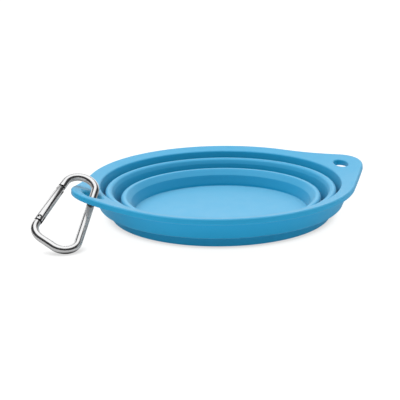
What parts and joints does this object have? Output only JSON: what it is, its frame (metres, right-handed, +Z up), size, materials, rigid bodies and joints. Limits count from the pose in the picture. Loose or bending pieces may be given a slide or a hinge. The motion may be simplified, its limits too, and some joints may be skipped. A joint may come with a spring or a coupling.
{
  "type": "collapsible pet bowl",
  "caption": "Round silicone travel bowl that folds flat in concentric walls, with a flanged rim drawn out into two slotted tabs and a bent-rod carabiner with a sprung gate through one tab",
  "frame": {"origin": "centre of the flat base face, on the bowl's axis", "axes": "+Z up out of the bowl's mouth, X along the two tabs with the carabiner on the -X tab"},
  "size_m": [0.1775, 0.1316, 0.0257],
  "materials": {
    "silicone": "satin light blue moulded silicone",
    "aluminium": "polished",
    "steel": "bright drawn wire"
  },
  "bodies": {
    "base": {"base_cup": "silicone", "lower_fold_web": "silicone"},
    "mid": {"mid_ring": "silicone", "upper_fold_web": "silicone"},
    "rim": {"rim_band": "silicone"},
    "clip": {"clip_frame": "aluminium", "gate_pin": "aluminium"},
    "gate": {"clip_gate": "aluminium", "gate_spring": "steel", "gate_plunger": "steel"}
  },
  "joints": [
    {"name": "lower_fold", "type": "slide", "parent": "base", "child": "mid", "axis": [0, 0, 1], "range_m": [0, 0.0155], "deforming": ["lower_fold_web"]},
    {"name": "upper_fold", "type": "slide", "parent": "mid", "child": "rim", "axis": [0, 0, 1], "range_m": [0, 0.0117], "deforming": ["upper_fold_web"]},
    {"name": "clip_swivel", "type": "hinge", "parent": "rim", "child": "clip", "pos_m": [-0.0661, 0, 0.01663], "axis": [0.5105, 0.7564, 0.409], "range_deg": [-10, 110]},
    {"name": "gate_hinge", "type": "hinge", "parent": "clip", "child": "gate", "pos_m": [-0.09547, -0.00813, 0.01224], "axis": [0, 0.4756, -0.8797], "range_deg": [0, 10], "stiffness_Nm_per_rad": 0.002, "springref_deg": -20.05}
  ]
}
